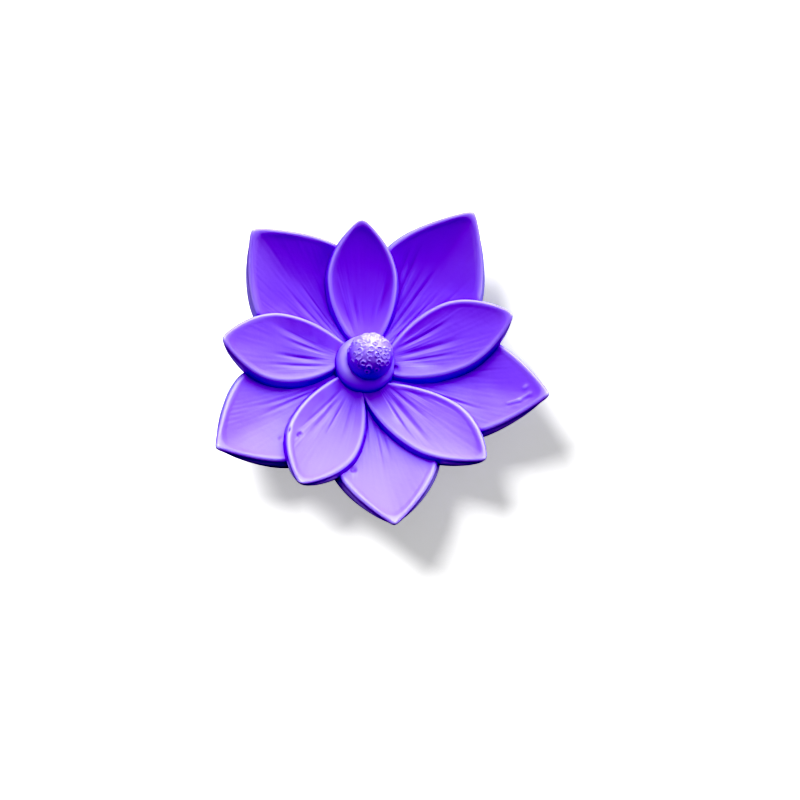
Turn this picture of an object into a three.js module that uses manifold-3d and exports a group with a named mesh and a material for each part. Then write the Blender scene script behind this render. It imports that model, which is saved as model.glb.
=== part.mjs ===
// A lotus flower cast in one piece: two rows of cupped petals round a domed seed head, on a flat back.
// Millimetres, +Z up. The flat back lies on z = 0, with the origin under the middle of the seed head.

import * as THREE from "three";
import { mergeVertices } from "three/addons/utils/BufferGeometryUtils.js";
import Module from "manifold-3d";

// ---------------------------------------------------------------------------------------------
// Driving dimensions
// ---------------------------------------------------------------------------------------------

// What all petals of a row share. Distances run outward from the middle of the flower.
const OUTER_ROW = {
  rootDistance: 2.5,
  rootHalfWidth: 1.5,
  widestShare: 0.6, // where the petal is widest, as a share of its reach
  taperPower: 1.55, // 1 gives straight sides to the tip, more gives rounder ones
  tipBlunting: 0.5, // how far the sharp point is cut back into a round one
  rimAtRoot: 4.4,
  rimAtTip: 12.6,
  bowlDepth: 0.65,
  valleyDepth: 1, // how much lower the middle of the petal lies than the bowl's edge
  beadRadius: 0.75, // the rounded bead that runs along every rim
  bellyStart: 14, // the underside leaves the flat back here
  bellyPower: 2.2,
  tipThickness: 1.6, // from the rim down to the underside, at the very tip
  tipRecede: 1.4, // how far the underside draws back behind the tip
  tipSwell: 0.4, // the share of the wall's swelling that is left at the tip
  grooves: 7,
  grooveSpacing: 6, // degrees, seen from the middle of the flower
  grooveDepth: 0.2,
};
const INNER_ROW = {
  rootDistance: 2.5,
  rootHalfWidth: 1.2,
  widestShare: 0.6,
  taperPower: 1.95,
  tipBlunting: 0.9,
  rimAtRoot: 5.2,
  rimAtTip: 12,
  bowlDepth: 0.7,
  valleyDepth: 0,
  beadRadius: 0.65,
  bellyStart: 12,
  bellyPower: 2.2,
  tipThickness: 2.2,
  tipRecede: 0.9,
  tipSwell: 0.9,
  grooves: 5,
  grooveSpacing: 8.6,
  grooveDepth: 0.24,
};

// Each petal: the way it points, how far its tip reaches, its half widths on either side of its
// middle line, and how far that line swings aside at the root. Degrees run counterclockwise from +X.
const PETALS = [
  { row: OUTER_ROW, heading: 348, reach: 36.9, leftHalf: 10.9, rightHalf: 10.5, swing: 1.5 },
  { row: OUTER_ROW, heading: 55.5, reach: 37.8, leftHalf: 10.5, rightHalf: 11.6, swing: 1.5 },
  { row: OUTER_ROW, heading: 132.5, reach: 34.5, leftHalf: 10.4, rightHalf: 12.5, swing: 1.5 },
  { row: OUTER_ROW, heading: 215.4, reach: 35.9, leftHalf: 10.5, rightHalf: 11, swing: 1.5 },
  { row: OUTER_ROW, heading: 278.7, reach: 35.7, leftHalf: 11.6, rightHalf: 9.2, swing: 1.5 },
  { row: INNER_ROW, heading: 17.7, reach: 30.6, leftHalf: 7.8, rightHalf: 6.8, swing: 2.2 },
  { row: INNER_ROW, heading: 92.5, reach: 28.8, leftHalf: 7.1, rightHalf: 7, swing: 0.4 },
  { row: INNER_ROW, heading: 175.9, reach: 28.7, leftHalf: 6.8, rightHalf: 7.9, swing: 2.2 },
  { row: INNER_ROW, heading: 244.9, reach: 30.2, leftHalf: 7.2, rightHalf: 7.6, swing: 1.4 },
  { row: INNER_ROW, heading: 317.4, reach: 31.6, leftHalf: 6.7, rightHalf: 6.6, swing: 4 },
];

const RIM_CURL = 1.6; // 1 raises the rim evenly from root to tip, more keeps the rise for the tip
const TIP_RECEDE_POWER = 6; // more keeps the drawing back nearer to the tip
const LIP_DROP = 0.16; // from the bead's crest down to the bowl's edge
const LIP_WIDTH = 1.1;
const BOWL_SPREAD = 3; // how far in from the rim the bowl reaches most of its depth
const BOWL_POWER = 1.3;
const VALLEY_SPREAD = 7; // the same for the valley
const VALLEY_POWER = 1.5;
const VALLEY_START = { from: 5, to: 14 }; // the valley grows to its full depth between these
const WALL_SQUARENESS = 3.2; // superellipse power of the underside's cross-section
const WALL_SWELL = 0.5; // how far the outer wall swells out below the rim
const WALL_SWELL_DEPTH = 1.1; // where below the rim the swelling is full
const WALL_SWELL_FADE = 9; // more keeps the wall full until nearer to the tip
const SUNK = 0.5; // how far a solid runs below the back before it is cut flat
const GROOVE_FADE = { inFrom: 6.5, inTo: 9, outFrom: 0.42, outTo: 0.72 }; // mm, mm, shares of the reach

// The seed head: a smooth round shoulder, and on it, a little off the middle, a spherical cap that is
// covered in small rings.
const SHOULDER_PROFILE = [
  [6.5, 3.2],
  [6.2, 4.6],
  [5.95, 5.9],
  [5.55, 7],
  [4.95, 7.9],
  [4.2, 8.5],
];
const SHOULDER_TOP = 8.9;
const SHOULDER_SIDES = 28;
const CAP_RADIUS = 4.6;
const CAP_CENTRE = new THREE.Vector3(0.7, 0, 10);
const CAP_SIDES = 22;
const CAP_RINGS = 10;
const RINGS = 24;
const RING_RADIUS = 0.62;
const RING_THICKNESS = 0.27; // radius of the ring's own round section
const RING_SIDES = 7;
const RING_SECTION_SIDES = 4;
const RINGS_END_ANGLE = 80; // degrees from the crown of the cap
const CROWN_LEAN = 14; // degrees that the crown leans toward +Y
const RING_SINK = 0.06;
const GOLDEN_ANGLE = Math.PI * (3 - Math.sqrt(5));

// The solid middle that every root is sunk in.
const HUB_RADIUS = 10;
const HUB_HEIGHT = 3.2;

// How finely the petals are faceted.
const ROWS = 13;
const ROW_CROWDING = 1.6; // more than 1 crowds the rows toward the tip
const RIM_COLUMNS = [0, 0.18, 0.65, 1.15, 1.85]; // mm in from the rim
const UNDERSIDE_ANGLES = [4, 20, 50]; // degrees round the underside, between the rim and the middle
const COLUMN_CLAMP_POWER = 4;
const EDGE_SLOPE_STEP = 0.01;

const PETAL_COLOUR = "#7b4df5";

// ---------------------------------------------------------------------------------------------
// Petals
// ---------------------------------------------------------------------------------------------

const radians = THREE.MathUtils.degToRad;

// Half width at a distance along the petal: swelling from the root, tapering to a blunted tip.
function halfWidth(petal, along, widest) {
  const { row, reach } = petal;
  const widestAt = row.widestShare * reach;
  if (along <= widestAt) {
    const toWidest = (widestAt - along) / (widestAt - row.rootDistance);
    return row.rootHalfWidth + (widest - row.rootHalfWidth) * (1 - toWidest ** 2);
  }
  const apex = reach + row.tipBlunting;
  const fromApex = Math.sqrt(Math.max((apex - along) ** 2 - row.tipBlunting ** 2, 0));
  return widest * (1 - (1 - fromApex / (apex - widestAt)) ** row.taperPower);
}

function middleLine(petal, along) {
  return -petal.swing * (1 - along / petal.reach) ** 2;
}

function alongShare(petal, along) {
  return (along - petal.row.rootDistance) / (petal.reach - petal.row.rootDistance);
}

function rimHeight(petal, along) {
  const { rimAtRoot, rimAtTip } = petal.row;
  return rimAtRoot + (rimAtTip - rimAtRoot) * alongShare(petal, along) ** RIM_CURL;
}

function bellyHeight(petal, along) {
  const { bellyStart, bellyPower, rimAtTip, tipThickness } = petal.row;
  const share = Math.max(along - bellyStart, 0) / (petal.reach - bellyStart);
  return -SUNK + (rimAtTip - tipThickness + SUNK) * share ** bellyPower;
}

// Depth below the rim's crest at a distance in from the rim: round bead, lip, then bowl and valley.
function depthFromRim(petal, along, inward) {
  const { beadRadius, bowlDepth, valleyDepth } = petal.row;
  if (inward < beadRadius) {
    return beadRadius - Math.sqrt(beadRadius ** 2 - (beadRadius - inward) ** 2);
  }
  const past = inward - beadRadius;
  const lip = LIP_DROP * THREE.MathUtils.smoothstep(past, 0, LIP_WIDTH);
  const bowl = 1 - Math.exp(-((past / BOWL_SPREAD) ** BOWL_POWER));
  const valley = 1 - Math.exp(-((past / VALLEY_SPREAD) ** VALLEY_POWER));
  const grown = THREE.MathUtils.smoothstep(along, VALLEY_START.from, VALLEY_START.to);
  return lip + (bowlDepth - LIP_DROP) * bowl + valleyDepth * grown * valley;
}

function grooveStrength(petal, along) {
  const { inFrom, inTo, outFrom, outTo } = GROOVE_FADE;
  const fadeIn = THREE.MathUtils.smoothstep(along, inFrom, inTo);
  return fadeIn * (1 - THREE.MathUtils.smoothstep(along / petal.reach, outFrom, outTo));
}

// Squeezes a sideways position toward the inner edge of the rim columns, smoothly.
function softClamp(share) {
  return share / (1 + Math.abs(share) ** COLUMN_CLAMP_POWER) ** (1 / COLUMN_CLAMP_POWER);
}

// One cross-section of a petal as a closed loop of points: over the top from the left rim to the
// right one, then down and under to the left rim again.
function crossSection(petal, along) {
  const { row } = petal;
  const middle = middleLine(petal, along);
  const rim = rimHeight(petal, along);
  const sides = [
    { way: 1, widest: petal.leftHalf },
    { way: -1, widest: petal.rightHalf },
  ].map(({ way, widest }) => {
    const half = halfWidth(petal, along, widest);
    const before = halfWidth(petal, along - EDGE_SLOPE_STEP, widest);
    const slope = (before - half) / EDGE_SLOPE_STEP;
    const squeeze = half / (half + RIM_COLUMNS.at(-1));
    const facing = new THREE.Vector2(1, 0);
    if (along < petal.reach) {
      facing.set(slope, 1).normalize();
    }
    return { way, half, facing, squeeze };
  });
  const [left, right] = sides;

  const topPoint = (side, fromRim, groove) => {
    const depth = depthFromRim(petal, along, fromRim * side.facing.y);
    const height = rim - depth - groove;
    return new THREE.Vector3(along, middle + side.way * (side.half - fromRim), height);
  };
  const rimPoints = (side) => RIM_COLUMNS.map((inward) => topPoint(side, inward * side.squeeze, 0));

  const strength = row.grooveDepth * grooveStrength(petal, along);
  const bowlPoints = [];
  for (let column = 0; column <= 2 * row.grooves; column += 1) {
    const ray = radians((row.grooves - column) * 0.5 * row.grooveSpacing);
    const aside = along * Math.tan(ray) - middle;
    const side = aside > 0 ? left : right;
    const room = side.half - RIM_COLUMNS.at(-1) * side.squeeze;
    const share = room > 0 ? softClamp(Math.abs(aside) / room) : 0;
    const cut = column % 2 === 1 ? strength * (1 - share ** COLUMN_CLAMP_POWER) : 0;
    bowlPoints.push(topPoint(side, side.half - share * room, cut));
  }

  const belly = bellyHeight(petal, along);
  const edgeHeight = rim - row.beadRadius;
  const reachShare = along / petal.reach;
  const fullness = 1 - (1 - row.tipSwell) * reachShare ** WALL_SWELL_FADE;
  const underPoint = (side, degrees) => {
    const turn = radians(degrees);
    const outward = Math.cos(turn) ** (2 / WALL_SQUARENESS);
    const down = Math.sin(turn) ** (2 / WALL_SQUARENESS);
    const drop = (edgeHeight - belly) * down;
    const filled = THREE.MathUtils.smoothstep(drop, 0, WALL_SWELL_DEPTH);
    const swell = WALL_SWELL * filled * outward * fullness;
    const recede = row.tipRecede * down * reachShare ** TIP_RECEDE_POWER;
    const aside = side.half * outward + swell * side.facing.y;
    const outAlong = along + swell * side.facing.x - recede;
    return new THREE.Vector3(outAlong, middle + side.way * aside, edgeHeight - drop);
  };
  const underRight = UNDERSIDE_ANGLES.map((angle) => underPoint(right, angle));
  const underLeft = UNDERSIDE_ANGLES.map((angle) => underPoint(left, angle)).reverse();
  const keel = underPoint(right, 90);
  keel.y = middle;

  return [
    ...rimPoints(left),
    ...bowlPoints,
    ...rimPoints(right).reverse(),
    ...underRight,
    keel,
    ...underLeft,
  ];
}

// A closed solid skinned over cross-sections, with a flat end at the root and its tip drawn together.
function petalGeometry(petal) {
  const sections = [];
  for (let step = 0; step <= ROWS; step += 1) {
    const share = 1 - (1 - step / ROWS) ** ROW_CROWDING;
    const along = THREE.MathUtils.lerp(petal.row.rootDistance, petal.reach, share);
    sections.push(crossSection(petal, along));
  }
  const around = sections[0].length;
  const points = sections.flat();
  const rootMiddle = new THREE.Vector3();
  sections[0].forEach((point) => rootMiddle.addScaledVector(point, 1 / around));
  points.push(rootMiddle);

  const faces = [];
  for (let index = 0; index < around; index += 1) {
    const next = (index + 1) % around;
    for (let step = 0; step < ROWS; step += 1) {
      const near = step * around;
      const far = near + around;
      faces.push(near + index, near + next, far + index);
      faces.push(near + next, far + next, far + index);
    }
    faces.push(index, points.length - 1, next);
  }
  const geometry = new THREE.BufferGeometry().setFromPoints(points);
  geometry.setIndex(faces);
  geometry.rotateZ(radians(petal.heading));
  return geometry;
}

// ---------------------------------------------------------------------------------------------
// Seed head and hub
// ---------------------------------------------------------------------------------------------

function shoulderGeometry() {
  const outline = [new THREE.Vector2(0, -SUNK)];
  outline.push(new THREE.Vector2(SHOULDER_PROFILE[0][0], -SUNK));
  SHOULDER_PROFILE.forEach(([radius, height]) => outline.push(new THREE.Vector2(radius, height)));
  outline.push(new THREE.Vector2(0, SHOULDER_TOP));
  return new THREE.LatheGeometry(outline, SHOULDER_SIDES).rotateX(0.5 * Math.PI);
}

function capGeometry() {
  const cap = new THREE.SphereGeometry(CAP_RADIUS, CAP_SIDES, CAP_RINGS).rotateX(0.5 * Math.PI);
  return cap.translate(...CAP_CENTRE);
}

// The small rings lie about the crown of the cap in an even spiral.
function ringGeometries() {
  const lowest = Math.cos(radians(RINGS_END_ANGLE));
  return Array.from({ length: RINGS }, (_, ring) => {
    const height = 1 - ((ring + 0.5) / RINGS) * (1 - lowest);
    const turn = ring * GOLDEN_ANGLE;
    const outward = Math.sqrt(1 - height ** 2);
    const normal = new THREE.Vector3(outward * Math.cos(turn), outward * Math.sin(turn), height);
    normal.applyAxisAngle(new THREE.Vector3(1, 0, 0), -radians(CROWN_LEAN));
    const geometry = new THREE.TorusGeometry(RING_RADIUS, RING_THICKNESS, RING_SECTION_SIDES, RING_SIDES);
    const upright = new THREE.Quaternion().setFromUnitVectors(new THREE.Vector3(0, 0, 1), normal);
    geometry.applyQuaternion(upright);
    const middle = normal.multiplyScalar(CAP_RADIUS - RING_SINK).add(CAP_CENTRE);
    return geometry.translate(...middle);
  });
}

function hubGeometry() {
  const height = HUB_HEIGHT + SUNK;
  const hub = new THREE.CylinderGeometry(HUB_RADIUS, HUB_RADIUS, height, SHOULDER_SIDES);
  return hub.rotateX(0.5 * Math.PI).translate(0, 0, 0.5 * height - SUNK);
}

// ---------------------------------------------------------------------------------------------
// One solid
// ---------------------------------------------------------------------------------------------

const wasm = await Module();
wasm.setup();

const MERGE_DISTANCE = 1e-4;

function toSolid(geometry) {
  geometry.deleteAttribute("normal");
  geometry.deleteAttribute("uv");
  const merged = mergeVertices(geometry, MERGE_DISTANCE);
  const corners = merged.index.array;
  const triVerts = [];
  for (let face = 0; face < corners.length; face += 3) {
    const [a, b, c] = corners.slice(face, face + 3);
    if (a !== b && b !== c && c !== a) {
      triVerts.push(a, b, c);
    }
  }
  const vertProperties = new Float32Array(merged.attributes.position.array);
  return new wasm.Manifold(
    new wasm.Mesh({ numProp: 3, vertProperties, triVerts: new Uint32Array(triVerts) }),
  );
}

function toGeometry(solid) {
  const mesh = solid.getMesh();
  const geometry = new THREE.BufferGeometry();
  geometry.setAttribute("position", new THREE.BufferAttribute(mesh.vertProperties, 3));
  geometry.setIndex(new THREE.BufferAttribute(mesh.triVerts, 1));
  geometry.computeVertexNormals();
  return geometry;
}

// Everything below the back, which the casting was levelled to.
function belowBack() {
  const span = 4 * Math.max(...PETALS.map((petal) => petal.reach));
  return toSolid(new THREE.BoxGeometry(span, span, span).translate(0, 0, -0.5 * span));
}

const pieces = [
  hubGeometry(),
  ...PETALS.map(petalGeometry),
  shoulderGeometry(),
  capGeometry(),
  ...ringGeometries(),
];
const flower = pieces.map(toSolid).reduce((whole, piece) => whole.add(piece));
const casting = flower.subtract(belowBack());

const material = new THREE.MeshStandardMaterial({
  color: PETAL_COLOUR,
  roughness: 0.45,
  metalness: 0,
});
const lotusFlower = new THREE.Mesh(toGeometry(casting), material);
lotusFlower.name = "lotus_flower";

const group = new THREE.Group();
group.name = "moulded_lotus_flower";
group.add(lotusFlower);

export default group;
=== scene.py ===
"""A lotus flower cast in one piece in violet resin: ten cupped petals round a domed seed head."""

from typing import NamedTuple

import bmesh
import bpy
import numpy as np
from bpy.props import FloatProperty, FloatVectorProperty, IntProperty, PointerProperty
from mathutils import Matrix, Vector


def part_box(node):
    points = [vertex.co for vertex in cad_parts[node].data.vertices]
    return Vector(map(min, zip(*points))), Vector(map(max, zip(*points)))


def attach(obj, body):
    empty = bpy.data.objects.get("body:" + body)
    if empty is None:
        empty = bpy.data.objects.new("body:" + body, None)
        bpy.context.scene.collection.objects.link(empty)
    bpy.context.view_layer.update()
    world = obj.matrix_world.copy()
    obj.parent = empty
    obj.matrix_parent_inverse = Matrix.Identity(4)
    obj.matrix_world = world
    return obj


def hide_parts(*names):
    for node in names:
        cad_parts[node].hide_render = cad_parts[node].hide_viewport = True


bl_info = {
    "name": "Moulded lotus flower",
    "version": (1, 0, 0),
    "blender": (4, 5, 0),
    "location": "View3D > Sidebar > Lotus",
    "description": "Builds the violet casting of a lotus flower and a plain studio round it",
    "category": "Add Mesh",
}

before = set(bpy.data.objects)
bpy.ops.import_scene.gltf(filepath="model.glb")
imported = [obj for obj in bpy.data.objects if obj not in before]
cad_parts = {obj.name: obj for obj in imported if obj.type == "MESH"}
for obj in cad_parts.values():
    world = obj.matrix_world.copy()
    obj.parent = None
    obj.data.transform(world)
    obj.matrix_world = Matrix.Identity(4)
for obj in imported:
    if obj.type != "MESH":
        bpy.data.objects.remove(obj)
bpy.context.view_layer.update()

NODE = "lotus_flower"
BODY = "root"
CASTING = "fine_casting"
MM = 0.001  # the surfaces are worked out in millimetres, the meshes are in metres

# ---------------------------------------------------------------------------------------------
# Driving dimensions of the casting, in millimetres, and in degrees where a line says so
# ---------------------------------------------------------------------------------------------

# What all petals of a row share. Places along a petal are distances from the flower's middle.
OUTER_ROW = {
    "root_distance": 2.5,
    "root_half_width": 1.5,
    "widest_share": 0.6,
    "taper_power": 1.55,
    "tip_blunting": 0.5,
    "rim_at_root": 4.4,
    "rim_at_tip": 12.6,
    "bowl_depth": 0.65,
    "valley_depth": 1.0,
    "belly_start": 14.0,
    "belly_power": 2.2,
    "tip_thickness": 1.6,
    "tip_recede": 0.75,
    "tip_swell": 0.4,
    "bead_radius": 0.75,
    "grooves": 9,
    "groove_spacing": 5.2,  # degrees
    "groove_width": 0.34,
    "groove_depth": 0.16,
    "groove_end": (0.5, 0.76),
    "rays": 92,
}
INNER_ROW = {
    "root_distance": 2.5,
    "root_half_width": 1.2,
    "widest_share": 0.6,
    "taper_power": 1.95,
    "tip_blunting": 0.9,
    "rim_at_root": 5.2,
    "rim_at_tip": 12.0,
    "bowl_depth": 0.7,
    "valley_depth": 0.0,
    "belly_start": 12.0,
    "belly_power": 2.2,
    "tip_thickness": 2.2,
    "tip_recede": 0.9,
    "tip_swell": 0.9,
    "bead_radius": 0.65,
    "grooves": 5,
    "groove_spacing": 8.6,  # degrees
    "groove_width": 0.5,
    "groove_depth": 0.2,
    "groove_end": (0.5, 0.72),
    "rays": 66,
}


class Petal(NamedTuple):
    """One petal's own sizes. Its heading is in degrees, from +X towards +Y."""

    row: dict
    heading: float
    reach: float
    left_half: float
    right_half: float
    swing: float  # how far the middle line stands aside at the root


PETALS = [
    Petal(OUTER_ROW, 348.0, 36.9, 10.9, 10.5, 1.5),
    Petal(OUTER_ROW, 55.5, 37.8, 10.5, 11.6, 1.5),
    Petal(OUTER_ROW, 132.5, 34.5, 10.4, 12.5, 1.5),
    Petal(OUTER_ROW, 215.4, 35.9, 10.5, 11.0, 1.5),
    Petal(OUTER_ROW, 278.7, 35.7, 11.6, 9.2, 1.5),
    Petal(INNER_ROW, 17.7, 30.6, 7.8, 6.8, 2.2),
    Petal(INNER_ROW, 92.5, 28.8, 7.1, 7.0, 0.4),
    Petal(INNER_ROW, 175.9, 28.7, 6.8, 7.9, 2.2),
    Petal(INNER_ROW, 244.9, 30.2, 7.2, 7.6, 1.4),
    Petal(INNER_ROW, 317.4, 31.6, 6.7, 6.6, 4.0),
]

# The top of a petal: the rim's rise from root to tip, and the lip, bowl and valley inside its bead.
RIM_CURL = 1.6
LIP_DROP = 0.16
LIP_WIDTH = 1.1
LIP_AT_ROOT = 0.4
LIP_GROWTH = (5.0, 13.0)
BOWL_SPREAD = 3.0
BOWL_POWER = 1.3
VALLEY_SPREAD = 7.0
VALLEY_POWER = 1.5
VALLEY_GROWTH = (5.0, 14.0)
MIDDLE_SOFTNESS = 0.9

# The grooves, and the ranges that each one's start, place, width and depth are drawn from.
GROOVE_START = (6.5, 8.5)
GROOVE_SCATTER = 0.25  # of the spacing
GROOVE_WIDTHS = (0.6, 1.3)  # of the row's width
GROOVE_DEPTHS = (0.5, 1.1)  # of the row's depth
GROOVE_FADE_IN = (-1.5, 4.0)  # from the start
GROOVE_FADE_OUT = 7.0  # before the end
GROOVE_WAVER = 0.06  # of the spacing
GROOVE_WAVER_NUMBER = 0.18  # radians for each millimetre

# Fine streaks along the petal, and the casting's soft unevenness. With the grooves, both fade in
# over a band inside the rim, which keeps the bead clean.
ANY_PHASE = 6.3  # radians, about a full turn
STREAK_WAVES = 12
STREAK_HEIGHT = 0.014
STREAK_NUMBER = (1.2, 4.0)  # radians for each degree of the ray
STREAK_DRIFT = 0.25  # radians for each millimetre
STREAK_FADE_NUMBER = (0.25, 0.6)  # radians for each millimetre
UNEVEN_WAVES = 7
UNEVEN_LENGTH = 6.0
UNEVEN_LENGTHS = (0.7, 1.5)  # of that length
UNEVEN_HEIGHT = 0.02
BEAD_CLEARANCE = (0.7, 1.8)

# The wall and the underside of a petal. All parts start a little below the plane of the back.
SUNK = 0.5
WALL_SQUARENESS = 3.2
TIP_SQUARENESS = 1.5
WALL_SWELL = 0.5
WALL_SWELL_DEPTH = 1.1
WALL_SWELL_FADE = 9.0
TIP_RECEDE_POWER = 6.0

# How finely a petal is divided: sections along it, columns at these distances in from each rim,
# rays in the bowl between them, and angles down from the edge of the wall.
PETAL_ROWS = 92
ROW_CROWDING = 1.25
RIM_COLUMNS = np.array([0, 0.05, 0.13, 0.24, 0.38, 0.52, 0.66, 0.8, 0.95, 1.15, 1.4, 1.8])
RAY_SPREAD = 0.3  # degrees to either side, for each ray
CLAMP_POWER = 4.0
UNDERSIDE_ANGLES = np.radians([1.5, 4, 8, 13, 20, 30, 42, 60])
STRAIGHT_DOWN = np.radians([90])
SLOPE_STEP = 0.01

# The painted highlight along the rims: how strong, how wide, and how far it fades inward and down the
# wall.
RIM_HIGHLIGHT = 0.2
RIM_FLAT = 0.3
RIM_FADE = 0.6
RIM_FADE_BELOW = 0.25

# The seed head: a shoulder turned from corners of (radius, height), and a ball with a leaning
# crown of small raised rings.
SHOULDER_CORNERS = [(6.5, 3.2), (6.2, 4.6), (5.95, 5.9), (5.55, 7.0), (4.95, 7.9), (4.2, 8.5), (0, 8.9)]
SHOULDER_SIDES = 128
SHOULDER_STEPS = 60
CAP_RADIUS = 4.6
CAP_CENTRE = np.array([0.7, 0.0, 10.0])
CAP_SIDES = 176
CAP_STEPS = 96
CROWN_LEAN = np.radians(14)
LAST_RING_ANGLE = np.radians(80)
GOLDEN_ANGLE = np.pi * (3 - np.sqrt(5))
RING_SCATTER = 0.12  # radians along the spiral
RING_RADIUS = (0.32, 0.58)
RING_HEIGHT = 0.2
RING_HEIGHTS = (0.6, 1.1)  # of that height
RING_WIDTH = 0.17
RING_SINK = 0.04
OPEN_RINGS = 0.7  # share of the rings that have a gap
RING_GAP = 1.3  # radians to either side of the opening, at most
RING_GAP_EDGE = 0.3  # radians
PIT_DEPTH = 0.12
PIT_SHARES = (0.8, 0.2)  # of the ring's radius: where its pit starts, and where it is full
# Painted highlight on the raised rings round the crown, which leans towards +Y where the key light stands:
# its strength, the span of the crown it covers, and the rise where it starts.
CAP_HIGHLIGHT = 0.55
CAP_HIGHLIGHT_SPAN = (0.3, 0.7)  # cosine of the angle from the crown's pole
CAP_HIGHLIGHT_RISE = (-0.16, 0.0)  # how far the surface stands out

# The disc that fills the middle under the petals' roots, and the block that cuts the back flat.
HUB_RADIUS = 10.0
HUB_HEIGHT = 3.2
BLOCK_SIZE = 120.0

# Points closer than this are one point.
WELD_PETALS = 1e-4
WELD_HEAD = 1e-3


class Mark(NamedTuple):
    """A small bubble, or a stroke of a fold, left by the casting. A negative height is a pit."""

    start: tuple
    end: tuple
    half_width: float
    height: float


MARKS = [
    Mark((-16.6, -16.8, 7.6), (-16.4, -16.5, 7.6), 0.4, -0.4),
    Mark((-15.3, -15.5, 8.5), (-15.1, -15.2, 8.6), 0.35, -0.35),
    Mark((-13.1, -16.3, 8.0), (-12.9, -16.2, 8.0), 0.4, -0.35),
    Mark((-2.4, -22.7, 7.4), (-2.1, -22.6, 7.4), 0.45, -0.45),
    Mark((6.1, -0.6, 5.2), (6.4, -0.8, 5.2), 0.5, -0.4),
    Mark((28.2, -8.7, 9.3), (30.3, -8.3, 10.0), 0.3, 0.16),
    Mark((30.3, -8.3, 10.0), (32.3, -7.1, 10.7), 0.35, 0.2),
    Mark((28.4, -9.3, 9.3), (30.6, -8.9, 10.0), 0.3, -0.15),
    Mark((30.6, -8.9, 10.0), (32.6, -7.8, 10.8), 0.35, -0.2),
    Mark((31.3, -5.7, 10.2), (31.8, -5.4, 10.4), 0.4, 0.2),
]

# ---------------------------------------------------------------------------------------------
# The finish and the studio
# ---------------------------------------------------------------------------------------------

SMOOTHING_ROUNDS = 24  # over how many edges a ridge or groove is told from the broad form
RIDGE_ROUNDS = 3
# The ridge value paints shade and highlight: a darker violet in the grooves and pits, a paler violet on
# the ridges and rims.
RIDGE_SPAN = 0.2  # millimetres to either side of level
RIDGE_STOPS = (0.1, 0.5, 0.9)  # where the painted shade, the plain violet and the painted highlight stand over that span
IOR = 1.85
GRAIN_SCALE = 900.0
GRAIN_DETAIL = 3.0
GRAIN_STRENGTH = 0.25
GRAIN_HEIGHT = 0.1
CREASE_ANGLE = np.radians(50)

WHITE = (1.0, 1.0, 1.0, 1.0)
FLOOR_HALF_SIZE = 3.0  # metres
FLOOR_WHITE = 0.95
FLOOR_GLOW = 0.38
BLACK_LEVEL = 0.096
LOOK = "High Contrast"
SIDE_HEADINGS = (0.0, np.pi)
SPOT_DISTANCE = 0.2  # metres
SPOT_SIZE = 0.001  # metres
SPOT_BLEND = 0.5

CAMERA_TILT = np.radians(20)
CAMERA_HEADING = np.radians(-15)
CAMERA_DISTANCE = 0.45  # metres
CAMERA_AIM = Vector((7.158, -7.082, 4.5))
LENS_LENGTH = 101.25
SENSOR_WIDTH = 36.0
NEAREST_SEEN = 0.01  # metres


# ---------------------------------------------------------------------------------------------
# Helpers
# ---------------------------------------------------------------------------------------------


def smoothstep(value, low, high):
    """3t^2 - 2t^3, where t runs from 0 at low to 1 at high."""
    t = np.clip((value - low) / (high - low), 0, 1)
    return t * t * (3 - 2 * t)


def read_vectors(source, key):
    """Three numbers of each element of a mesh's collection, as an array of rows."""
    values = np.empty(len(source) * 3)
    source.foreach_get(key, values)
    return values.reshape(-1, 3)


def move_points(mesh, points):
    mesh.vertices.foreach_set("co", points.ravel())
    mesh.update()


def new_point_value(mesh, name, values):
    """Stores one number at each point of the mesh, where a material can read it."""
    attribute = mesh.attributes.new(name, "FLOAT", "POINT")
    attribute.data.foreach_set("value", np.broadcast_to(values, len(mesh.vertices)).astype(float))


def new_mesh_object(name, points, faces, painted_highlight=0.0):
    """An object from points in millimetres and faces as lists of point numbers. Each point also
    carries the strength of its painted highlight, from 0 to 1."""
    mesh = bpy.data.meshes.new(name)
    mesh.from_pydata((points * MM).tolist(), [], faces)
    mesh.update()
    new_point_value(mesh, "painted_highlight", painted_highlight)
    piece = bpy.data.objects.new(name, mesh)
    bpy.context.scene.collection.objects.link(piece)
    return piece


def weld(piece, distance):
    """Merges points closer than distance in millimetres, and turns all faces outward."""
    work = bmesh.new()
    work.from_mesh(piece.data)
    bmesh.ops.remove_doubles(work, verts=work.verts, dist=distance * MM)
    bmesh.ops.dissolve_degenerate(work, edges=work.edges, dist=distance * MM)
    bmesh.ops.recalc_face_normals(work, faces=work.faces)
    work.to_mesh(piece.data)
    work.free()


def tube_faces(rows, around):
    """Quads of a skin over loops of points, each loop closed on itself."""
    row, column = np.meshgrid(np.arange(rows - 1), np.arange(around), indexing="ij")
    beside = (column + 1) % around
    near = row * around
    far = near + around
    corners = np.stack([near + column, near + beside, far + beside, far + column], axis=-1)
    return corners.reshape(-1, 4).tolist()


# ---------------------------------------------------------------------------------------------
# Petals
# ---------------------------------------------------------------------------------------------


class Side(NamedTuple):
    """One side of a petal's outline, with a row of numbers for each place along it."""

    half: np.ndarray  # half width
    out_along: np.ndarray  # the outline's outward direction: its part along the petal,
    out_aside: np.ndarray  # and its part aside
    squeeze: np.ndarray  # from 1 down to 0 where the petal is too narrow for the columns by the rim


class Lines(NamedTuple):
    """The lines that a petal's cross-sections hang on, as columns, one number for each section."""

    along: np.ndarray
    middle: np.ndarray
    rim: np.ndarray
    edge: np.ndarray
    belly: np.ndarray
    share: np.ndarray  # of the reach
    left: Side
    right: Side


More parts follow.
